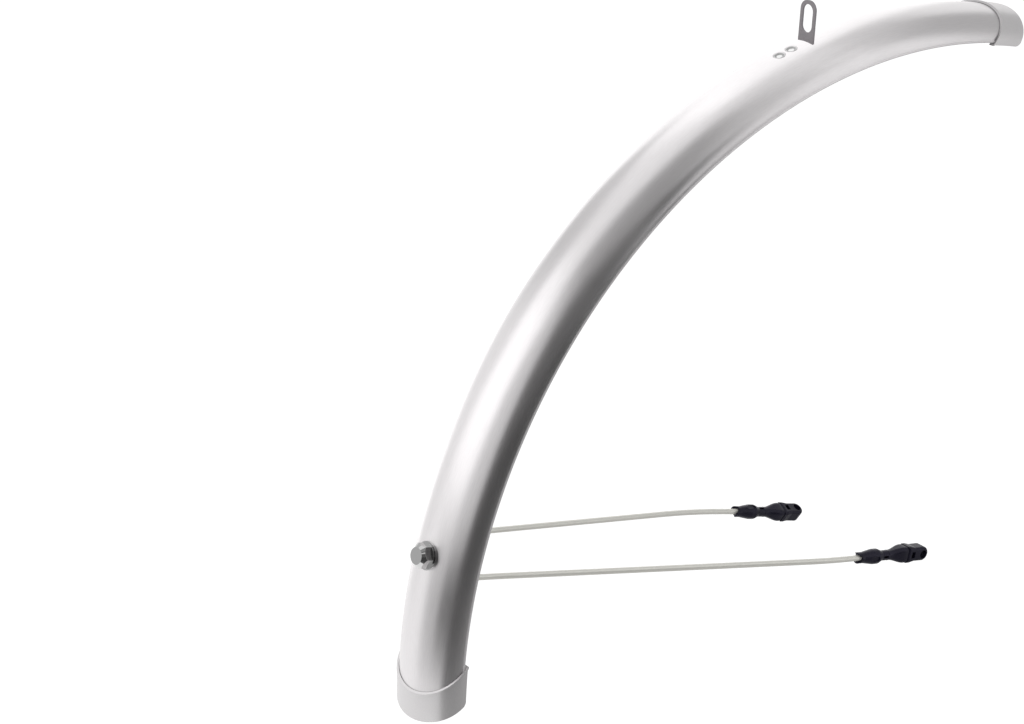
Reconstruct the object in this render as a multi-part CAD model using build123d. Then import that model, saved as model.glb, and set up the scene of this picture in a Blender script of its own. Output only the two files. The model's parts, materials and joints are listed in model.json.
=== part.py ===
from build123d import *
import os
from math import cos, degrees, radians, sin

# Front mudguard for a 28-inch bicycle wheel, in millimetres.
# Frame: the origin is the middle of the fork slot, on the tab's front face.
# +X points forward, +Y to the rider's left, +Z up along the tab.
# The pieces are drawn about the wheel axle, and moved into that frame as they are written.
# Angles are about the axle, from straight ahead (0) over the top (90) to straight back (180).

# Blade: a channel of half-elliptical section, carried round the wheel
crown_reach = 362.0
blade_width = 53.5
blade_depth = 18.3
wall = 1.1
bead_radius = 0.9
front_tip = 76.6
rear_tip = 183.79

# End caps, with a raised lip along the rim; rims and ends lean back by these lengths from crown to edge
cap_length = 18.2
front_rim_lean = 10.5
front_end_lean = 6.0
rear_rim_lean = 15.3
rear_end_lean = 10.8
lip_width = 1.3
lip_rise = 0.35
cap_wall = 0.9
cap_end_wall = 2.2
cap_gap = 0.2
cap_corner = 5.0

# Fork bracket: slotted tab and riveted leg
tab_angle = 103.5
tab_width = 12.9
tab_height = 25.1
tab_corner = 5.9
bracket_sheet = 1.2
leg_length = 35.0
slot_width = 8.6
slot_length = 17.4
slot_height = 14.0
tab_gap = 0.25

# Sunk rivets with dished heads, through the crown and the bracket's leg
rivet_setback = 12.8
rivet_pitch = 9.7
rivet_sink_radius = 3.9
rivet_sink_gap = 0.5
rivet_rim_depth = 0.25
rivet_rim = 0.3
rivet_shank_radius = 2.4
rivet_dish_radius = 1.8
rivet_dish_depth = 0.9
rivet_tail_radius = 3.4
rivet_tail = 0.8
rivet_gap = 0.1
rivet_seat_gap = 0.3

# Stay bolt, washer, bridge and nut
bolt_angle = 167.5
bolt_radius = 3.0
bolt_gap = 0.2
head_across_flats = 13.4
head_height = 6.6
head_face_radius = 5.2
head_slope = 1.1
head_flange_radius = 7.9
head_flange = 1.0
hexagon_turn = 30.0
washer_radius = 8.6
washer_rise = 1.2
seat_gap = 0.05
bridge_width = 18.0
bridge_sheet = 1.5
bridge_foot = 8.0
bridge_gap = 0.2
nut_across_flats = 10.0
nut_height = 5.0
bolt_end = 2.0

# Stay wire, bent to a U that lies inside the blade
wire_radius = 1.9
wire_gap = 0.3
wire_bend = 16.0
wire_nearest = 30.0
kink_radius = 25.0
eyelet_ahead = -1.4
eyelet_half_span = 57.8
wire_end_gap = 0.3

# Right leg: a kink inwards of the blade's edge, an elbow before the sleeve, and a dip to the eyelet
right_kink_reach = 14.0
right_elbow = 23.4
right_elbow_radius = 250.0
right_dip = 9.6
right_eyelet_above = 16.3

# Left leg: it also splays outwards between two kinks, and its clip is rolled so that the bore looks up
left_kink_reach = 8.0
left_splay_reach = 56.5
left_splay_aside = 45.3
left_elbow = 37.0
left_elbow_radius = 700.0
left_dip = 13.8
left_eyelet_above = -0.9
left_roll = -64.0

# Sleeve over each wire end, turned to shape
mouth_radius = 3.6
mouth_length = 4.5
bulge_radius = 4.9
bulge_start = 13.0
bulge_length = 4.0
sleeve_length = 21.2
sleeve_end_radius = 3.4
sleeve_round = 6.0
sleeve_end_round = 3.0
notch_width = 5.0
notch_depth = 2.3
recess_length = 7.0
recess_width = 3.2
recess_depth = 0.7
socket_gap = 0.15

# Clip body with its latch tongue
spigot_length = 8.0
spigot_radius = 2.8
wire_grip = 6.0
neck_radius = 3.3
neck_length = 5.4
neck_slot_length = 4.4
neck_slot_width = 1.4
flare_length = 15.6
flare_height = 10.7
flare_width = 9.4
flare_corner = 2.6
# Shares of the flare's length, each with its share of the growth in width and height
flare_steps = ((0.0, 0.0), (0.45, 0.42), (0.85, 1.0), (1.0, 0.94))
flare_root_flat = 0.3
tongue_length = 7.6
tongue_height = 5.0
tongue_width = 3.0
nose_setback = 4.2
nose_length = 2.4
nose_height = 3.6
nose_rise = 0.9

# Eyelet block
seam = 0.4
tongue_gap = 0.25
eyelet_reach = 13.9
eyelet_radius = 4.7
eyelet_bore_radius = 2.65
block_height = 11.0
block_width = 9.3
block_lip = 2.6
block_waist = 9.2
block_waist_at = 7.0
block_round = 1.8
window_gap = 0.3

# Worked out from the sizes above
half_width = blade_width / 2
edge_reach = crown_reach - blade_depth
wheel_axis = Axis((0, 0, 0), (0, -1, 0))
tab_foot = crown_reach * Vector(cos(radians(tab_angle)), 0, sin(radians(tab_angle)))
axle = -(tab_foot + Vector(0, 0, slot_height))
clear = 2 * blade_depth


def turn(length, reach=crown_reach):
    """The angle that an arc of this length spans at a distance from the axle."""
    return degrees(length / reach)


def on_crown(angle):
    """Plane that touches the crown at an angle: z outwards, x forwards along the guard."""
    outwards = Vector(cos(radians(angle)), 0, sin(radians(angle)))
    forwards = Vector(sin(radians(angle)), 0, -cos(radians(angle)))
    return Plane(origin=outwards * crown_reach, x_dir=forwards, z_dir=outwards)


def oval_rise(inset, aside):
    """Height of the half ellipse above the edge line, at a distance aside from the middle."""
    return (blade_depth - inset) * (1 - (aside / (half_width - inset)) ** 2) ** 0.5


def oval_face(inset, foot=0.0):
    """The half ellipse, inset from the blade's outer face, with straight feet below the edge line."""
    arc = EllipticalCenterArc(
        (edge_reach, 0), half_width - inset, blade_depth - inset, start_angle=0, arc_size=180, rotation=-90
    )
    start = arc @ 0
    end = arc @ 1
    inwards = Vector(-foot, 0, 0)
    closing = [Line(end, start)]
    if foot > 0:
        closing = [Polyline(end, end + inwards, start + inwards, start)]
    return make_face([arc, *closing])


def around(face, start, span):
    """A section carried round the axle from one angle over a span of degrees."""
    return Rot(0, -start, 0) * revolve(face, wheel_axis, span)


def crown_band(outer, inner, width):
    """Section of a strip that follows the crown between two insets."""
    window = Pos(crown_reach, 0) * Rectangle(clear, width)
    return (oval_face(outer) - oval_face(inner)) & window


def beyond(tip, side, lean, setback):
    """All that lies past a leaning cut near a tip; side is 1 at the front and -1 at the rear."""
    crown = on_crown(tip)
    plane = Plane(origin=crown.origin, x_dir=crown.x_dir * side, z_dir=(0, -side, 0))
    shift = clear * lean / blade_depth
    past = setback + shift + clear
    low = (-setback - shift, -clear)
    high = (shift - setback, clear)
    cut = Polyline(low, (past, -clear), (past, clear), high, close=True)
    return extrude(plane * make_face(cut), clear, both=True)


def blade_section(gap):
    """The blade's wall and its edge beads, grown by a gap all round."""
    beads = [Pos(edge_reach, s * (half_width - wall / 2)) * Circle(bead_radius + gap) for s in (-1, 1)]
    return (oval_face(-gap) - oval_face(wall + gap)) + beads[0] + beads[1]


def make_cap(tip, side, rim_lean, end_lean):
    """A cap over the blade's end: outer and inner skins, edges wrapped, end closed, rim lipped."""
    inset = -cap_gap - cap_wall
    inner = wall + cap_gap + cap_wall
    foot = bead_radius + cap_gap + cap_wall
    reach = turn(cap_length + rim_lean + 2 * clear)
    start = tip - turn(clear) if side > 0 else tip + turn(clear) - reach
    bore = oval_face(inner, foot + lip_rise)
    shell = around(oval_face(inset, foot) - bore, start, reach)
    lip = around(oval_face(inset - lip_rise, foot + lip_rise) - bore, start, reach)
    lip &= beyond(tip, side, rim_lean, cap_length)
    lip -= beyond(tip, side, rim_lean, cap_length - lip_width)
    groove = around(blade_section(cap_gap), start, reach) - beyond(tip, side, end_lean, cap_end_wall)
    cap = (shell & beyond(tip, side, rim_lean, cap_length)) - beyond(tip, side, end_lean, 0)
    cap = cap + lip - groove
    corner_at = on_crown(tip + side * turn(end_lean, edge_reach))
    plane = Plane(origin=corner_at.origin, x_dir=corner_at.x_dir * side, z_dir=(0, -side, 0))
    slope = end_lean / blade_depth
    corner = Vector(-slope * foot, -blade_depth - foot)
    rise = Vector(slope * clear, clear)
    back = Vector(2 * clear, 0)
    kept = make_face(Polyline(corner, corner + rise, corner + rise - back, corner - back, close=True))
    kept = fillet(kept.vertices().sort_by_distance(corner)[0], cap_corner)
    waste = Pos(corner) * Rectangle(2 * cap_corner, 2 * cap_corner) - kept
    return cap - extrude(plane * waste, clear, both=True)


def make_rivet(angle):
    """A closed rivet: sunk dished head outside, turned-over tail under the bracket's leg."""
    seat = -wall - bracket_sheet - rivet_seat_gap
    tail = seat - rivet_tail
    rim_radius = rivet_sink_radius - rivet_sink_gap
    outline = Polyline(
        (0, -rivet_dish_depth),
        (rivet_dish_radius, -rivet_dish_depth),
        (rim_radius - rivet_rim, -rivet_rim_depth),
        (rim_radius, -rivet_rim_depth),
        (rivet_shank_radius, -wall),
        (rivet_shank_radius, seat),
        (rivet_tail_radius, seat),
        (rivet_tail_radius, tail),
        (0, tail),
        close=True,
    )
    return on_crown(angle) * revolve(Plane.XZ * make_face(outline), Axis.Z)


def hexagon(across_flats):
    """Hexagon by its width across the flats, turned so that two flats look along the guard."""
    return RegularPolygon(across_flats / 2, 6, major_radius=False, rotation=hexagon_turn)


# Blade, with its holes for the tab, the rivets and the bolt
rivet_angles = [tab_angle + turn(rivet_setback + k * rivet_pitch) for k in range(2)]
blade = around(blade_section(0), front_tip, rear_tip - front_tip)
blade -= beyond(front_tip, 1, front_end_lean, cap_end_wall + cap_gap)
blade -= beyond(rear_tip, -1, rear_end_lean, cap_end_wall + cap_gap)
rivet_hole = rivet_shank_radius + rivet_gap
for angle in rivet_angles:
    blade -= on_crown(angle) * Cylinder(rivet_hole, blade_depth)
    blade -= on_crown(angle) * Pos(0, 0, -wall / 2) * Cone(rivet_hole, rivet_sink_radius, wall)
blade -= on_crown(bolt_angle) * Cylinder(bolt_radius + bolt_gap, blade_depth)
tab_opening = Box(bracket_sheet + 2 * tab_gap, tab_width + 2 * tab_gap, blade_depth)
blade -= Pos(tab_foot - Vector(bracket_sheet / 2, 0, 0)) * tab_opening

front_cap = make_cap(front_tip, 1, front_rim_lean, front_end_lean)
rear_cap = make_cap(rear_tip, -1, rear_rim_lean, rear_end_lean)

# Fork bracket: the tab, drawn from the front, and the leg that follows the crown's inner face
tab_root = 2 * (wall + bracket_sheet)
tab_outline = Pos(0, (tab_height - tab_root) / 2) * Rectangle(tab_width, tab_height + tab_root)
tab_top = tab_outline.vertices().group_by(Axis.Y)[-1]
tab_outline = fillet(tab_top, tab_corner)
tab_outline -= Pos(0, slot_height) * SlotOverall(slot_length, slot_width, rotation=90)
tab_plane = Plane(origin=tab_foot, x_dir=(0, 1, 0), z_dir=(1, 0, 0))
tab = extrude(tab_plane * tab_outline, -bracket_sheet)
under_leg = around(oval_face(wall + bracket_sheet), tab_angle - turn(clear), turn(2 * clear))
leg = around(crown_band(wall, wall + bracket_sheet, tab_width), tab_angle, turn(leg_length))
fork_bracket = (tab - under_leg) + leg
for angle in rivet_angles:
    fork_bracket -= on_crown(angle) * Cylinder(rivet_hole, blade_depth)

front_rivet, rear_rivet = [make_rivet(angle) for angle in rivet_angles]

# Stay bolt, seen from outside as a chamfered hexagon on a round flange
bolt_plane = on_crown(bolt_angle)
head_foot = washer_rise + head_flange
head_top = head_foot + head_height
head_envelope = Polyline(
    (0, head_foot),
    (head_across_flats, head_foot),
    (head_across_flats, head_top - head_slope * (head_across_flats - head_face_radius)),
    (head_face_radius, head_top),
    (0, head_top),
    close=True,
)
head = Pos(0, 0, head_foot) * extrude(hexagon(head_across_flats), head_height)
head &= revolve(Plane.XZ * make_face(head_envelope), Axis.Z)
head += Pos(0, 0, washer_rise) * extrude(Circle(head_flange_radius), head_flange)
bend_angle = radians(wire_nearest)
wire_reach = wire_radius + wire_gap
wire_side = half_width - wall / 2 - bead_radius - wire_reach
nearest_aside = wire_side - wire_bend * (1 - sin(bend_angle)) + wire_reach * sin(bend_angle)
wire_rise = oval_rise(wall, nearest_aside) + wire_bend * (1 - cos(bend_angle)) - wire_reach * cos(bend_angle)
bridge_seat = blade_depth - wire_rise + wire_radius + bridge_gap
nut_seat = bridge_seat + bridge_sheet
shank_length = washer_rise + nut_seat + nut_height + bolt_end
shank = Pos(0, 0, washer_rise) * extrude(Circle(bolt_radius), -shank_length)
stay_bolt = bolt_plane * (head + shank)

blade_around_bolt = around(oval_face(-seat_gap), bolt_angle - turn(clear), turn(2 * clear))
washer_ring = Circle(washer_radius) - Circle(bolt_radius + bolt_gap)
washer_root = blade_depth - oval_rise(0, washer_radius)
washer = Pos(0, 0, washer_rise) * extrude(washer_ring, -washer_rise - washer_root)
stay_washer = bolt_plane * washer - blade_around_bolt

# Bridge: a plate over the wire, with a foot against the crown's inner face ahead of the bolt
wire_setback = bolt_radius + bolt_gap + wire_reach
wire_angle = bolt_angle + turn(wire_setback)
bridge_back = wire_setback + 2 * wire_radius
bridge_length = bridge_back + bridge_foot
plate = Rectangle(bridge_length, bridge_width, align=(Align.MIN, Align.CENTER))
plate = Pos(-bridge_back, 0) * plate - Circle(bolt_radius + bolt_gap)
foot = Pos(bridge_foot, 0) * Rectangle(bridge_sheet, bridge_width, align=(Align.MAX, Align.CENTER))
stay_bridge = Pos(0, 0, -bridge_seat) * extrude(plate, -bridge_sheet) + extrude(foot, -nut_seat)
inside_blade = around(oval_face(wall + seat_gap, clear), bolt_angle - turn(clear), turn(2 * clear))
stay_bridge = bolt_plane * stay_bridge & inside_blade

nut = extrude(hexagon(nut_across_flats) - Circle(bolt_radius + bolt_gap / 2), -nut_height)
stay_nut = bolt_plane * Pos(0, 0, -nut_seat) * nut

# Stay wire: a U inside the blade, out past both edges, kinked and bent to each clip
wire_plane = Plane(origin=(0, 0, 0), x_dir=on_crown(wire_angle).z_dir, z_dir=-on_crown(wire_angle).x_dir)
clip_seat = sleeve_length - spigot_length
eyelet_at = sleeve_length + neck_length + flare_length + seam + eyelet_reach


def clip_plane(side, dip, above):
    """Plane at a sleeve's mouth: x along the clip, y along the eyelet's bore before any roll."""
    along = Vector(cos(radians(dip)), 0, -sin(radians(dip)))
    eyelet = Vector(eyelet_ahead, side * eyelet_half_span, above)
    return Plane(origin=eyelet - along * eyelet_at, x_dir=along, z_dir=along.cross(Vector(0, 1, 0)))


def stay_leg(clip, elbow, side, kinks):
    """Corners of one leg, from the wire's end in the clip to the bend inside the blade."""
    end = clip.from_local_coords(Vector(clip_seat + wire_grip - wire_end_gap, 0, 0))
    corners = [end, clip.from_local_coords(Vector(-elbow, 0, 0))]
    for inwards, aside in kinks:
        corners.append(wire_plane.from_local_coords(Vector(edge_reach - inwards, side * aside, 0)))
    return corners


right_place = clip_plane(-1, right_dip, right_eyelet_above)
left_place = clip_plane(1, left_dip, left_eyelet_above)
right_kinks = [(right_kink_reach, wire_side), (-wire_rise, wire_side)]
left_kinks = [(left_splay_reach, left_splay_aside), (left_kink_reach, wire_side), (-wire_rise, wire_side)]
right_leg = stay_leg(right_place, right_elbow, -1, right_kinks)
left_leg = stay_leg(left_place, left_elbow, 1, left_kinks)
right_bends = [right_elbow_radius, kink_radius, wire_bend]
left_bends = [wire_bend, kink_radius, kink_radius, left_elbow_radius]
wire_path = FilletPolyline(*right_leg, *left_leg[::-1], radius=right_bends + left_bends)
wire_start = Plane(origin=wire_path @ 0, z_dir=wire_path % 0)
stay_wire = sweep(wire_start * Circle(wire_radius), wire_path)


def make_sleeve():
    """A turned sleeve, notched at its mouth, with an oval recess on each side of its bulge."""
    profile = FilletPolyline(
        (0, mouth_radius),
        (mouth_length, mouth_radius),
        (bulge_start, bulge_radius),
        (bulge_start + bulge_length, bulge_radius),
        (sleeve_length, sleeve_end_radius),
        radius=[sleeve_round, sleeve_round, sleeve_end_round],
    )
    base = Polyline((sleeve_length, sleeve_end_radius), (sleeve_length, 0), (0, 0), (0, mouth_radius))
    sleeve = revolve(make_face([profile, base]), Axis.X)
    sleeve -= Rot(0, 90, 0) * extrude(Circle(wire_radius + socket_gap), sleeve_length)
    socket = Rot(0, 90, 0) * extrude(Circle(spigot_radius + socket_gap), sleeve_length)
    sleeve -= Pos(clip_seat, 0, 0) * socket
    notch = Plane.XZ * Ellipse(notch_depth, notch_width / 2)
    sleeve -= extrude(notch, clear, both=True)
    recess = Plane.XZ * Pos(bulge_start, 0) * SlotOverall(recess_length, recess_width)
    for s in (-1, 1):
        sleeve -= Pos(0, s * (bulge_radius - recess_depth), 0) * extrude(recess, -s * bulge_radius)
    return sleeve


def make_clip():
    """A clip body: spigot in the sleeve, slotted neck, flare to a blunt face, and the latch tongue."""
    spigot = Pos(clip_seat, 0, 0) * Rot(0, 90, 0) * extrude(Circle(spigot_radius), spigot_length)
    neck = Pos(sleeve_length, 0, 0) * Rot(0, 90, 0) * extrude(Circle(neck_radius), neck_length)
    flare_start = sleeve_length + neck_length
    root_corner = neck_radius - flare_root_flat
    sections = []
    for part, grow in flare_steps:
        width = 2 * neck_radius + (flare_width - 2 * neck_radius) * grow
        height = 2 * neck_radius + (flare_height - 2 * neck_radius) * grow
        corner = root_corner + (flare_corner - root_corner) * grow
        at = Plane(origin=(flare_start + part * flare_length, 0, 0), x_dir=(0, 1, 0), z_dir=(1, 0, 0))
        sections.append(at * RectangleRounded(width, height, corner))
    flare = loft(sections)
    face_at = flare_start + flare_length
    tongue = Pos(face_at + tongue_length / 2, 0, 0) * Box(tongue_length, tongue_width, tongue_height)
    nose_at = face_at + nose_setback
    wedge = Polyline(
        (nose_at, 0),
        (nose_at, tongue_width / 2 + nose_rise),
        (nose_at + nose_length / 2, tongue_width / 2 + nose_rise),
        (nose_at + nose_length, 0),
        close=True,
    )
    nose = extrude(make_face(wedge), nose_height / 2, both=True)
    clip = spigot + neck + flare + tongue + nose + mirror(nose, Plane.XZ)
    clip -= Pos(clip_seat, 0, 0) * Rot(0, 90, 0) * extrude(Circle(wire_radius + socket_gap), wire_grip)
    slot_at = sleeve_length + neck_length / 2
    neck_slot = Plane.XZ * Pos(slot_at, 0) * SlotOverall(neck_slot_length, neck_slot_width)
    clip -= extrude(neck_slot, clear, both=True)
    return clip


def make_eyelet():
    """An eyelet block: lipped seam end with the tongue's pocket, waist, window and rounded bored end."""
    start = sleeve_length + neck_length + flare_length + seam
    eye = start + eyelet_reach
    side_view = make_face(
        Polyline(
            (start, -block_height / 2),
            (start + block_lip, -block_height / 2),
            (start + block_waist_at, -block_waist / 2),
            (eye, -eyelet_radius),
            (eye, eyelet_radius),
            (start + block_waist_at, block_waist / 2),
            (start + block_lip, block_height / 2),
            (start, block_height / 2),
            close=True,
        )
    )
    side_view += Pos(eye, 0) * Circle(eyelet_radius)
    block = extrude(Plane.XZ * side_view, block_width / 2, both=True)
    rims = block.faces().filter_by(Axis.Y).edges()
    block = fillet(rims, block_round)
    block -= Pos(eye, 0, 0) * Rot(90, 0, 0) * Cylinder(eyelet_bore_radius, 2 * block_width)
    pocket = tongue_length - seam + tongue_gap
    block -= Pos(start + pocket / 2, 0, 0) * Box(
        pocket, tongue_width + 2 * tongue_gap, tongue_height + 2 * tongue_gap
    )
    track = nose_setback - seam + nose_length + window_gap
    track_width = tongue_width + 2 * nose_rise + 2 * tongue_gap
    track_height = nose_height + 2 * tongue_gap
    block -= Pos(start + track / 2, 0, 0) * Box(track, track_width, track_height)
    window = nose_length + 2 * window_gap
    block -= Pos(start + track - window / 2, 0, 0) * Box(window, 2 * block_width, track_height)
    return block


# Every piece by its name, with a sleeve, clip and eyelet block at each end of the wire
nodes = {
    "blade": blade,
    "front_cap": front_cap,
    "rear_cap": rear_cap,
    "fork_bracket": fork_bracket,
    "front_rivet": front_rivet,
    "rear_rivet": rear_rivet,
    "stay_bolt": stay_bolt,
    "stay_washer": stay_washer,
    "stay_bridge": stay_bridge,
    "stay_nut": stay_nut,
    "stay_wire": stay_wire,
}
for name, at in (("right", right_place.location), ("left", left_place.location * Rot(left_roll, 0, 0))):
    nodes[f"{name}_sleeve"] = at * make_sleeve()
    nodes[f"{name}_clip"] = at * make_clip()
    nodes[f"{name}_eyelet"] = at * make_eyelet()

os.makedirs("parts", exist_ok=True)
for name, shape in nodes.items():
    export_step(Pos(axle) * shape, f"parts/{name}.step")
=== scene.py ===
import json
from math import acos, asin, cos, pi, radians, sin

import bpy
import numpy as np
from mathutils import Matrix, Vector


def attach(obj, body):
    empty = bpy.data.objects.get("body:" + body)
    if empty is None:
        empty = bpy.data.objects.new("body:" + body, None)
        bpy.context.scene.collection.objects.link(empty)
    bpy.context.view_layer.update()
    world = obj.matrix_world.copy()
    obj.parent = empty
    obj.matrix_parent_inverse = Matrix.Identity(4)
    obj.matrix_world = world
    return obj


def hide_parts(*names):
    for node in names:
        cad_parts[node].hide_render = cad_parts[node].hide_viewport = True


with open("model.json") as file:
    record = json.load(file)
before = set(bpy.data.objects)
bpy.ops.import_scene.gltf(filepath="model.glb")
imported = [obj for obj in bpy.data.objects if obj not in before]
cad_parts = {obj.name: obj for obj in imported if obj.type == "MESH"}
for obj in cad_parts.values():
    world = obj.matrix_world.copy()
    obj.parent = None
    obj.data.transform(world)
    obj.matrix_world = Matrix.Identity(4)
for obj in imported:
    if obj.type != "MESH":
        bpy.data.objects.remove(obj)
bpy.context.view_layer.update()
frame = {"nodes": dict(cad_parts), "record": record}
nodes = frame["nodes"]

# Measures shared with the part's source, in metres
AXLE = np.array((0.084507, 0.0, -0.365998))
CROWN = 0.362
HALF_WIDTH = 0.02675
DEPTH = 0.0183
WALL = 0.0011
BEAD = 0.0009
FRONT_TIP = radians(76.6)
REAR_TIP = radians(183.79)
FRONT_LEAN = 0.006
REAR_LEAN = 0.0108
END_SETBACK = 0.0024
RIVETS = radians(103.5) + np.array((0.0128, 0.0225)) / CROWN
BOLT = radians(167.5)

# Measures of the drawing alone
PHOTO_WIDTH = 1024
FOCAL_PIXELS = 3105.435
SENSOR = 36.0
FLOOR = AXLE[2] - 0.9
FLOOR_REACH = 9.0
MIDDLE = AXLE + np.array((-0.12, 0, 0.2))
CARD_STEP = 0.008
FUNNEL_RADIUS = 0.00395
FUNNEL_DEPTH = 0.0013
FINE_ANGLE = 0.016
FINE_CROWN = 0.17
GRAIN_HEIGHT = 0.0002


# Camera, floor and light

def look_axes(turn, rise, roll):
    """Rows right, up and back of a camera that stands at a turn and a rise round the object, then rolls."""
    back = np.array((sin(turn) * cos(rise), -cos(turn) * cos(rise), sin(rise)))
    right = np.array((cos(turn), sin(turn), 0.0))
    up = np.cross(back, right)
    return np.array((cos(roll) * right + sin(roll) * up, cos(roll) * up - sin(roll) * right, back))


def make_camera():
    """The photograph's camera: measured from the axle, in crown radii aside, up and back."""
    rows = look_axes(radians(-39.106), radians(21.6567), radians(3.126))
    place = AXLE + CROWN * np.array((-0.622601, 0.325961, 5.638496)) @ rows
    data = bpy.data.cameras.new("camera")
    data.sensor_width = SENSOR
    data.lens = FOCAL_PIXELS * SENSOR / PHOTO_WIDTH
    data.clip_start = 0.05
    data.clip_end = 60.0
    camera = bpy.data.objects.new("camera", data)
    matrix = np.eye(4)
    matrix[:3, :3] = rows.T
    matrix[:3, 3] = place
    camera.matrix_world = Matrix(matrix.tolist())
    bpy.context.collection.objects.link(camera)
    bpy.context.scene.camera = camera


def grid_piece(name, points, tube=False):
    """A mesh of quads over an array of points, rows by columns. A tube joins its last column to its first,
    and has closed ends."""
    rows, columns = points.shape[:2]
    u = np.arange(rows - 1)[:, None]
    v = np.arange(columns if tube else columns - 1)[None, :]
    v2 = (v + 1) % columns
    quads = np.stack([u * columns + v, (u + 1) * columns + v, (u + 1) * columns + v2, u * columns + v2], -1)
    faces = quads.reshape(-1, 4).tolist()
    if tube:
        order = np.arange(columns)
        faces += [order.tolist(), ((rows - 1) * columns + order[::-1]).tolist()]
    mesh = bpy.data.meshes.new(name)
    mesh.from_pydata(points.reshape(-1, 3).tolist(), [], faces)
    mesh.update()
    piece = bpy.data.objects.new(name, mesh)
    bpy.context.collection.objects.link(piece)
    return piece


def sheet_points(centre, side, upwards):
    """The four corners of a flat sheet, from its centre and its two half sides."""
    centre, side, upwards = (np.array(v, float) for v in (centre, side, upwards))
    low, high = centre - upwards, centre + upwards
    return np.array([[low - side, low + side], [high - side, high + side]])


def put(tree, kind, **settings):
    """A shader node with its attributes set."""
    node = tree.nodes.new(kind)
    for key, value in settings.items():
        setattr(node, key, value)
    return node


def plain(name):
    """An empty node material with its output node."""
    material = bpy.data.materials.new(name)
    material.use_nodes = True
    material.node_tree.nodes.clear()
    return material, put(material.node_tree, "ShaderNodeOutputMaterial")


def seen_level(tree, lit, seen):
    """One strength for rays that only light the part, and another where the surround is seen, mirrored or
    looked at through something."""
    path = put(tree, "ShaderNodeLightPath")
    mirrored = put(tree, "ShaderNodeMath", operation="MAXIMUM")
    tree.links.new(path.outputs["Is Glossy Ray"], mirrored.inputs[0])
    tree.links.new(path.outputs["Is Transmission Ray"], mirrored.inputs[1])
    either = put(tree, "ShaderNodeMath", operation="MAXIMUM")
    tree.links.new(path.outputs["Is Camera Ray"], either.inputs[0])
    tree.links.new(mirrored.outputs[0], either.inputs[1])
    level = put(tree, "ShaderNodeMapRange")
    level.inputs["To Min"].default_value = lit
    level.inputs["To Max"].default_value = seen
    tree.links.new(either.outputs[0], level.inputs["Value"])
    return level.outputs[0]


def make_floor():
    """A wide pale floor well below the part; it keeps the soft shadow."""
    floor = grid_piece("floor", sheet_points((0, 0, FLOOR), (FLOOR_REACH, 0, 0), (0, FLOOR_REACH, 0)))
    material, out = plain("pale_floor")
    tree = material.node_tree
    matte = put(tree, "ShaderNodeBsdfDiffuse")
    matte.inputs["Color"].default_value = (0.9, 0.9, 0.9, 1)
    glow = put(tree, "ShaderNodeEmission")
    glow.inputs["Color"].default_value = (1, 1, 1, 1)
    both = put(tree, "ShaderNodeAddShader")
    tree.links.new(seen_level(tree, 0.0, 0.45), glow.inputs["Strength"])
    tree.links.new(matte.outputs[0], both.inputs[0])
    tree.links.new(glow.outputs[0], both.inputs[1])
    tree.links.new(both.outputs[0], out.inputs["Surface"])
    floor.data.materials.append(material)


def make_card(name, turns, rises, level, away):
    """A studio card: a patch of a sphere about the part, between two turns and two rises, seen only in gloss.
    A point is the middle plus the radius times (cos turn cos rise, sin turn cos rise, sin rise)."""
    turn = np.radians(np.linspace(*turns, 25))[:, None]
    rise = np.radians(np.linspace(*rises, 13))[None, :]
    rows = np.broadcast_arrays(np.cos(turn) * np.cos(rise), np.sin(turn) * np.cos(rise), np.sin(rise))
    card = grid_piece(name, MIDDLE + away * np.stack(rows, -1))
    material, out = plain(name)
    glow = put(material.node_tree, "ShaderNodeEmission")
    glow.inputs["Strength"].default_value = level
    material.node_tree.links.new(glow.outputs[0], out.inputs["Surface"])
    card.data.materials.append(material)
    card.visible_camera = False
    card.visible_shadow = False
    card.visible_diffuse = False


def make_world():
    """White where the background is seen, and a plain even light elsewhere."""
    world = bpy.data.worlds.new("studio")
    world.use_nodes = True
    tree = world.node_tree
    back = tree.nodes["Background"]
    back.inputs["Color"].default_value = (1, 1, 1, 1)
    tree.links.new(seen_level(tree, 0.7, 1.0), back.inputs["Strength"])
    bpy.context.scene.world = world


def make_lamp(name, towards, away, width, height, watts):
    """A soft area lamp in a direction from the middle of the part, turned to face it."""
    towards = np.array(towards, float) / np.linalg.norm(towards)
    data = bpy.data.lights.new(name, "AREA")
    data.shape = "RECTANGLE"
    data.size = width
    data.size_y = height
    data.energy = watts
    lamp = bpy.data.objects.new(name, data)
    lamp.location = MIDDLE + away * towards
    lamp.visible_glossy = False
    lamp.rotation_mode = "QUATERNION"
    lamp.rotation_quaternion = Vector(-towards).to_track_quat("-Z", "Y")
    bpy.context.collection.objects.link(lamp)


make_camera()
make_world()
make_floor()

# Each card: name, turns and rises in degrees, level; a later card lies before an earlier one
cards = (
    ("dim_below", (-157, 19), (-78, -24), 0.36),
    ("grey_above", (-92, 99), (43, 80), 0.67),
    ("grey_far", (79, 150), (10, 42), 0.67),
    ("dark_side", (-159, -74), (-36, 40), 0.13),
    ("dim_above", (-188, -92), (40, 88), 0.36),
    ("dim_low_left", (-203, -153), (-30, -8), 0.55),
    ("dark_low", (-179, -53), (-27, 2), 0.07),
    ("bright_right", (-50, -28), (-24, 61), 1.23),
    ("dim_right", (-38, 17), (-25, 52), 0.50),
    ("bright_front", (36, 82), (-38, 76), 1.35),
    ("bright_top", (79, 98), (39, 73), 1.50),
    ("bright_far", (132, 182), (0, 40), 1.50),
    ("pale_left", (179, 211), (-10, 33), 0.77),
    ("bright_low", (31, 125), (-27, -8), 1.60),
    ("pale_low", (110, 138), (-27, 22), 0.96),
    ("pale_above", (-53, 59), (64, 76), 1.00),
)
for place, card in enumerate(cards):
    make_card(*card, away=1.0 - CARD_STEP * place)
make_lamp("top_softbox", (-0.1, -0.2, 1.0), 2.0, 1.6, 1.6, 5)
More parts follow.
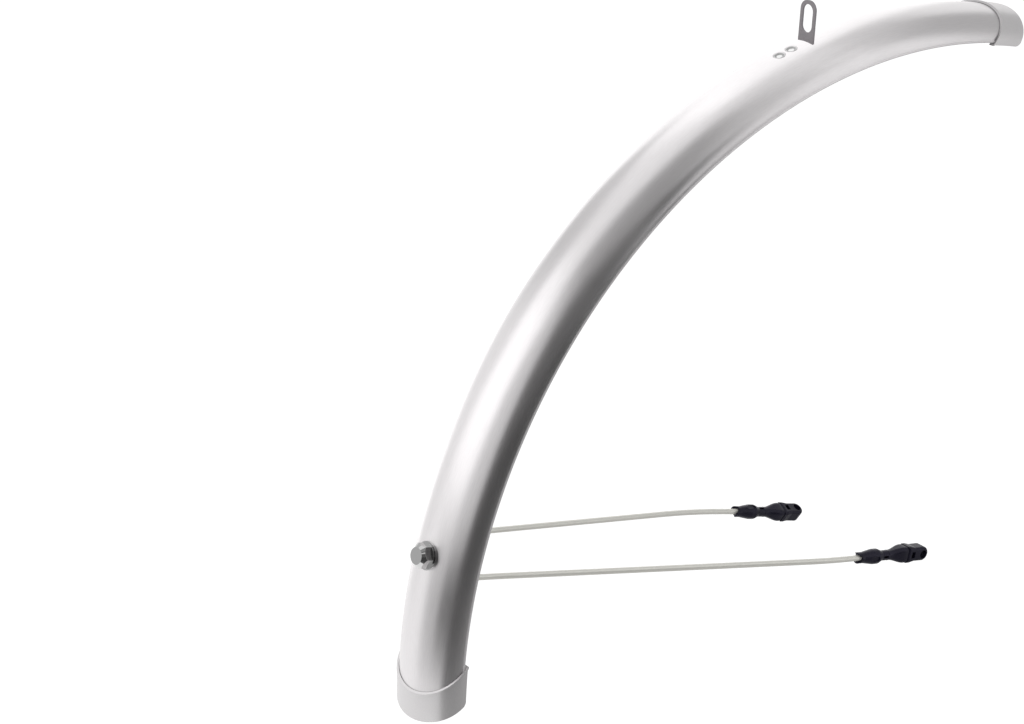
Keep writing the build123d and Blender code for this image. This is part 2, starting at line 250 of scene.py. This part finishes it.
bpy.context.scene.view_settings.view_transform = "Standard"


# Blade, drawn finely in place of the coarser CAD faces

def blade_section():
    """Closed section, aside and rise over the edge line: outer half ellipse, bead, inner half ellipse, bead.
    Half ellipse: (half width cos t, depth sin t). Bead: a circle about the wall's middle at the edge."""
    lift = acos(WALL / 2 / BEAD)
    foot = asin(BEAD * sin(lift) / DEPTH)
    fine = np.linspace(pi / 2 - FINE_CROWN, pi / 2 + FINE_CROWN, 32)
    t = np.unique(np.concatenate((np.linspace(foot, pi - foot, 61), fine)))[:, None]
    outer = np.hstack((HALF_WIDTH * np.cos(t), DEPTH * np.sin(t)))
    inner = np.hstack(((HALF_WIDTH - WALL) * np.cos(t), (DEPTH - WALL) * np.sin(t)))[::-1]
    b = np.linspace(lift, -pi - lift, 21)[1:-1, None]
    bead = np.hstack((HALF_WIDTH - WALL / 2 + BEAD * np.cos(b), BEAD * np.sin(b)))
    return np.vstack((outer, bead * (-1, 1), inner, bead[::-1])), len(t)


def cut_angle(reach, lean):
    """Angle between a tip and the leaning cut near it, at a reach from the axle."""
    slope = lean / DEPTH
    back = np.arcsin((END_SETBACK + slope * (CROWN - reach)) / reach)
    return np.arcsin((END_SETBACK + slope * (CROWN - reach * np.cos(back))) / reach)


def blade_points():
    """The section carried round the axle between the cuts inside the caps, and sunk to a funnel under each
    rivet. A point is the axle plus (reach cos angle, aside, reach sin angle)."""
    section, skin = blade_section()
    aside, rise = section.T
    reach = CROWN - DEPTH + rise
    start = FRONT_TIP + cut_angle(reach, FRONT_LEAN)
    end = REAR_TIP - cut_angle(reach, REAR_LEAN)
    near = (RIVETS + np.array((-FINE_ANGLE, FINE_ANGLE)) - start.min()) / (end.max() - start.min())
    share = np.unique(np.concatenate((np.linspace(0, 1, 221), np.linspace(*near, 71))))[:, None]
    angle = start + share * (end - start)
    along = CROWN * (angle[:, :skin, None] - RIVETS)
    away = np.hypot(along, aside[:skin, None]).min(-1)
    reach = np.tile(reach, (len(share), 1))
    reach[:, :skin] -= FUNNEL_DEPTH * np.clip((FUNNEL_RADIUS - away) / FUNNEL_DEPTH, 0, 1)
    across = np.broadcast_to(aside, angle.shape)
    return AXLE + np.stack((reach * np.cos(angle), across, reach * np.sin(angle)), -1)


def make_blade():
    """The blade as one skin: rows round the axle, columns round the section, joined into a closed loop."""
    blade = grid_piece("blade_skin", blade_points(), tube=True)
    blade.data.shade_smooth()
    blade.data.set_sharp_from_angle(angle=radians(40))
    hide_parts("blade")
    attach(blade, "guard")
    return blade


blade_skin = make_blade()


# Finishes

def group(name, inputs, outputs):
    """A node group with named float or vector inputs and named outputs, and its two end nodes."""
    tree = bpy.data.node_groups.new(name, "ShaderNodeTree")
    for label, kind, value in inputs:
        socket = tree.interface.new_socket(label, in_out="INPUT", socket_type=kind)
        if value is not None:
            socket.default_value = value
    for label, kind in outputs:
        tree.interface.new_socket(label, in_out="OUTPUT", socket_type=kind)
    return tree, put(tree, "NodeGroupInput"), put(tree, "NodeGroupOutput")


NUMBER = "NodeSocketFloat"
ARROW = "NodeSocketVector"


def maths(tree, operation, first, second=None):
    """A math node on sockets or plain numbers; its result."""
    node = put(tree, "ShaderNodeMath", operation=operation)
    for place, value in enumerate((first, second)):
        if isinstance(value, (int, float)):
            node.inputs[place].default_value = value
        elif value is not None:
            tree.links.new(value, node.inputs[place])
    return node.outputs[0]


def make_wheel_places():
    """Where a point lies on the guard: length along the arc, distance across and reach; whether its face
    looks at the wheel, how far it looks along the arc, and whether it lies on the bead."""
    outputs = [("Place", ARROW), ("Inside", NUMBER), ("Along", NUMBER), ("Bead", NUMBER)]
    tree, _, end = group("wheel_places", [], outputs)
    where = put(tree, "ShaderNodeTexCoord")
    split = put(tree, "ShaderNodeSeparateXYZ")
    tree.links.new(where.outputs["Object"], split.inputs[0])
    ahead = maths(tree, "SUBTRACT", split.outputs[0], float(AXLE[0]))
    above = maths(tree, "SUBTRACT", split.outputs[2], float(AXLE[2]))
    angle = maths(tree, "ARCTAN2", above, ahead)
    flat = put(tree, "ShaderNodeCombineXYZ")
    tree.links.new(ahead, flat.inputs[0])
    tree.links.new(above, flat.inputs[2])
    reach = put(tree, "ShaderNodeVectorMath", operation="LENGTH")
    tree.links.new(flat.outputs[0], reach.inputs[0])
    place = put(tree, "ShaderNodeCombineXYZ")
    tree.links.new(maths(tree, "MULTIPLY", angle, CROWN), place.inputs[0])
    tree.links.new(split.outputs[1], place.inputs[1])
    tree.links.new(reach.outputs["Value"], place.inputs[2])
    outwards = put(tree, "ShaderNodeVectorMath", operation="NORMALIZE")
    tree.links.new(flat.outputs[0], outwards.inputs[0])
    facing = put(tree, "ShaderNodeVectorMath", operation="DOT_PRODUCT")
    tree.links.new(where.outputs["Normal"], facing.inputs[0])
    tree.links.new(outwards.outputs[0], facing.inputs[1])
    inside = put(tree, "ShaderNodeMapRange")
    inside.inputs["From Min"].default_value = -0.02
    inside.inputs["From Max"].default_value = -0.12
    tree.links.new(facing.outputs["Value"], inside.inputs["Value"])
    tree.links.new(place.outputs[0], end.inputs["Place"])
    tree.links.new(inside.outputs[0], end.inputs["Inside"])
    backwards = put(tree, "ShaderNodeVectorMath", operation="CROSS_PRODUCT")
    backwards.inputs[0].default_value = (0, -1, 0)
    tree.links.new(outwards.outputs[0], backwards.inputs[1])
    along = put(tree, "ShaderNodeVectorMath", operation="DOT_PRODUCT")
    tree.links.new(where.outputs["Normal"], along.inputs[0])
    tree.links.new(backwards.outputs[0], along.inputs[1])
    tree.links.new(along.outputs["Value"], end.inputs["Along"])
    bead = put(tree, "ShaderNodeMapRange")
    bead.inputs["From Min"].default_value = CROWN - DEPTH + 1.1 * BEAD
    bead.inputs["From Max"].default_value = CROWN - DEPTH + 0.8 * BEAD
    tree.links.new(reach.outputs["Value"], bead.inputs["Value"])
    tree.links.new(bead.outputs[0], end.inputs["Bead"])
    return tree


def make_grain():
    """Fine grain: noise on stretched coordinates, as a mask about 0.5, with a slow second noise for broad
    unevenness."""
    inputs = [("Place", ARROW, None), ("Stretch", ARROW, (1, 1, 1)),
              ("Fineness", NUMBER, 1000), ("Broad", NUMBER, 20)]
    tree, start, end = group("grain", inputs, [("Fine", NUMBER), ("Slow", NUMBER)])
    pull = put(tree, "ShaderNodeVectorMath", operation="MULTIPLY")
    tree.links.new(start.outputs["Place"], pull.inputs[0])
    tree.links.new(start.outputs["Stretch"], pull.inputs[1])
    fine = put(tree, "ShaderNodeTexNoise")
    fine.inputs["Detail"].default_value = 3
    slow = put(tree, "ShaderNodeTexNoise")
    slow.inputs["Detail"].default_value = 2
    tree.links.new(pull.outputs[0], fine.inputs["Vector"])
    tree.links.new(start.outputs["Fineness"], fine.inputs["Scale"])
    tree.links.new(start.outputs["Place"], slow.inputs["Vector"])
    tree.links.new(start.outputs["Broad"], slow.inputs["Scale"])
    tree.links.new(fine.outputs[0], end.inputs["Fine"])
    tree.links.new(slow.outputs[0], end.inputs["Slow"])
    return tree


def make_turned_places():
    """How far a face looks along the axis of a turned piece."""
    inputs = [("Axis", ARROW, (0, 0, 1))]
    tree, start, end = group("turned_places", inputs, [("Facing", NUMBER)])
    where = put(tree, "ShaderNodeTexCoord")
    facing = put(tree, "ShaderNodeVectorMath", operation="DOT_PRODUCT")
    tree.links.new(where.outputs["Normal"], facing.inputs[0])
    tree.links.new(start.outputs["Axis"], facing.inputs[1])
    tree.links.new(facing.outputs["Value"], end.inputs["Facing"])
    return tree


WHEEL_PLACES = make_wheel_places()
GRAIN = make_grain()
TURNED_PLACES = make_turned_places()


def use(tree, made, **values):
    """Places a node group and sets its inputs, from sockets or plain values."""
    node = put(tree, "ShaderNodeGroup", node_tree=made)
    for label, value in values.items():
        if isinstance(value, bpy.types.NodeSocket):
            tree.links.new(value, node.inputs[label])
        else:
            node.inputs[label].default_value = value
    return node


def spread(tree, value, low, high):
    """A mask about 0.5 carried to a range from low to high."""
    node = put(tree, "ShaderNodeMapRange")
    node.inputs["From Min"].default_value = 0.25
    node.inputs["From Max"].default_value = 0.75
    node.inputs["To Min"].default_value = low
    node.inputs["To Max"].default_value = high
    tree.links.new(value, node.inputs["Value"])
    return node.outputs[0]


def tint(tree, mask, low, high):
    """A colour between two, by a mask."""
    node = put(tree, "ShaderNodeMix", data_type="RGBA")
    tree.links.new(mask, node.inputs[0])
    for place, value in ((6, low), (7, high)):
        if isinstance(value, bpy.types.NodeSocket):
            tree.links.new(value, node.inputs[place])
        else:
            node.inputs[place].default_value = (*value, 1)
    return node.outputs[2]


def raise_grain(tree, height, strength, distance, shader):
    """A bump from a height mask on a shader's Normal."""
    bump = put(tree, "ShaderNodeBump")
    bump.inputs["Strength"].default_value = strength
    bump.inputs["Distance"].default_value = distance
    tree.links.new(height, bump.inputs["Height"])
    tree.links.new(bump.outputs[0], shader.inputs["Normal"])


def shaded(name, metallic, **constants):
    """A material with a Principled shader on its output, and its constants on the shader's own sockets."""
    material, out = plain(name)
    tree = material.node_tree
    shader = put(tree, "ShaderNodeBsdfPrincipled")
    shader.inputs["Metallic"].default_value = metallic
    for label, value in constants.items():
        shader.inputs[label.replace("_", " ")].default_value = value
    tree.links.new(shader.outputs[0], out.inputs["Surface"])
    return material, tree, shader


def satin_blade():
    """Satin silver skin with a faint grain along the arc, a duller grey on the face that looks at the wheel,
    and a paler, less metallic bead along the edges: partly a duller edge finish, partly a painted highlight
    for the pale floor mirrored in the rounded bead."""
    material, tree, shader = shaded("satin_silver", 1.0)
    place = use(tree, WHEEL_PLACES)
    grain = use(tree, GRAIN, Place=place.outputs["Place"], Stretch=(0.06, 1, 1), Fineness=2600, Broad=24)
    outer = tint(tree, spread(tree, grain.outputs["Fine"], 0, 1), (0.72, 0.70, 0.707), (0.78, 0.76, 0.767))
    inner = tint(tree, spread(tree, grain.outputs["Slow"], 0, 1), (0.42, 0.42, 0.425), (0.47, 0.47, 0.475))
    beside = maths(tree, "SUBTRACT", 1.0, place.outputs["Bead"])
    inside = maths(tree, "MULTIPLY", place.outputs["Inside"], beside)
    tree.links.new(tint(tree, inside, outer, inner), shader.inputs["Base Color"])
    # Bead half as metallic so it renders paler: partly a duller edge finish, partly a painted highlight
    painted_bead_highlight = maths(tree, "MULTIPLY", place.outputs["Bead"], 0.5)
    tree.links.new(maths(tree, "SUBTRACT", 1.0, painted_bead_highlight), shader.inputs["Metallic"])
    rough = spread(tree, grain.outputs["Slow"], 0.29, 0.35)
    duller = maths(tree, "MULTIPLY", inside, 0.18)
    tree.links.new(maths(tree, "ADD", rough, duller), shader.inputs["Roughness"])
    raise_grain(tree, grain.outputs["Fine"], 0.05, GRAIN_HEIGHT, shader)
    return material


def silver_cap():
    """Silver moulded plastic: fine bright flakes in a pale grey with a soft sheen, and painted shade in a
    darker grey on the cut end of the front cap."""
    material, tree, shader = shaded("silver_plastic", 0.7)
    place = use(tree, WHEEL_PLACES)
    split = put(tree, "ShaderNodeSeparateXYZ")
    tree.links.new(place.outputs["Place"], split.inputs[0])
    # Painted shade: the front cap's faces that look along the arc, at its cut end, get a darker grey
    front = maths(tree, "LESS_THAN", split.outputs[0], CROWN * (BOLT + FRONT_TIP) / 2)
    painted_shade_rim = maths(tree, "MULTIPLY", front, maths(tree, "GREATER_THAN", place.outputs["Along"], 0.7))
    where = put(tree, "ShaderNodeTexCoord")
    grain = use(tree, GRAIN, Place=where.outputs["Object"], Fineness=2200, Broad=60)
    pale = tint(tree, spread(tree, grain.outputs["Fine"], 0, 1), (0.66, 0.645, 0.65), (0.72, 0.705, 0.71))
    tree.links.new(tint(tree, painted_shade_rim, pale, (0.42, 0.41, 0.415)), shader.inputs["Base Color"])
    tree.links.new(spread(tree, grain.outputs["Slow"], 0.31, 0.36), shader.inputs["Roughness"])
    raise_grain(tree, grain.outputs["Fine"], 0.08, GRAIN_HEIGHT, shader)
    return material


def metal(name, low, high, rough, fineness, stretch=(1, 1, 1), bump=0.05, metallic=1.0):
    """A metal whose tone and gloss vary a little with its grain."""
    material, tree, shader = shaded(name, metallic)
    where = put(tree, "ShaderNodeTexCoord")
    grain = use(tree, GRAIN, Place=where.outputs["Object"], Stretch=stretch, Fineness=fineness, Broad=90)
    tone = tint(tree, spread(tree, grain.outputs["Fine"], 0, 1), low, high)
    tree.links.new(tone, shader.inputs["Base Color"])
    tree.links.new(spread(tree, grain.outputs["Slow"], *rough), shader.inputs["Roughness"])
    raise_grain(tree, grain.outputs["Fine"], bump, GRAIN_HEIGHT, shader)
    return material


def turned_metal(name, angle, painted_greys, rough):
    """A bright metal turned about an axis at an angle of the guard: its end face and its sides have greys of
    their own, painted by how far a face looks along the axis: painted shade on a rivet's recess walls and a
    painted reflection on a bolt's end face."""
    material, tree, shader = shaded(name, 1.0)
    where = put(tree, "ShaderNodeTexCoord")
    place = use(tree, TURNED_PLACES, Axis=(cos(angle), 0, sin(angle)))
    # Painted greys by facing along the axis, standing in for shade and reflection
    ramp = put(tree, "ShaderNodeValToRGB")
    stops = ramp.color_ramp.elements
    while len(stops) < len(painted_greys):
        stops.new(1.0)
    for stop, (position, grey) in zip(stops, painted_greys):
        stop.position = position
        stop.color = (grey, grey, grey, 1)
    tree.links.new(place.outputs["Facing"], ramp.inputs[0])
    tree.links.new(ramp.outputs[0], shader.inputs["Base Color"])
    grain = use(tree, GRAIN, Place=where.outputs["Object"], Fineness=700, Broad=90)
    tree.links.new(spread(tree, grain.outputs["Slow"], *rough), shader.inputs["Roughness"])
    return material


def black_plastic():
    """Moulded black nylon, a little blue, with a fine leathery speckle in its gloss."""
    gloss = {"Specular_IOR_Level": 0.26, "Specular_Tint": (0.86, 0.83, 1.0, 1)}
    material, tree, shader = shaded("black_nylon", 0.0, **gloss)
    where = put(tree, "ShaderNodeTexCoord")
    grain = use(tree, GRAIN, Place=where.outputs["Object"], Fineness=1800, Broad=150)
    mask = spread(tree, grain.outputs["Slow"], 0, 1)
    black = tint(tree, mask, (0.006, 0.0055, 0.013), (0.011, 0.010, 0.022))
    tree.links.new(black, shader.inputs["Base Color"])
    tree.links.new(spread(tree, grain.outputs["Fine"], 0.3, 0.42), shader.inputs["Roughness"])
    raise_grain(tree, grain.outputs["Fine"], 0.12, GRAIN_HEIGHT, shader)
    return material


finishes = {
    "silver_blade": satin_blade(),
    "silver_cap": silver_cap(),
    "bracket_steel": metal("bracket_zinc", (0.245, 0.225, 0.24), (0.295, 0.275, 0.29), (0.45, 0.55), 900,
                           metallic=0.25),
    # Rivet walls painted 0.40 against a 0.70 face: painted shade in the sunk recess
    "rivet_metal": turned_metal("sunk_rivet", RIVETS.mean(), ((0.95, 0.40), (0.99, 0.70)), (0.25, 0.35)),
    # Faces looking along the bolt painted 0.33 against 0.60 sides: a painted reflection of grey surroundings
    "chrome": turned_metal("bright_chrome", BOLT, ((0.93, 0.60), (0.97, 0.33)), (0.04, 0.08)),
    "zinc_steel": metal("dull_zinc", (0.46, 0.46, 0.46), (0.55, 0.55, 0.55), (0.35, 0.45), 900),
    "stay_steel": metal("drawn_steel", (0.72, 0.71, 0.66), (0.80, 0.79, 0.74), (0.28, 0.36), 2600,
                        stretch=(0.05, 1, 1), metallic=0.35),
    "black_plastic": black_plastic(),
}
for row in frame["record"]["subparts"]:
    piece = nodes[row["node"]]
    piece.data.materials.clear()
    piece.data.materials.append(finishes[row["material_slot"]])
blade_skin.data.materials.append(finishes["silver_blade"])

# No soft image of the tab in the satin crown
nodes["fork_bracket"].visible_glossy = False
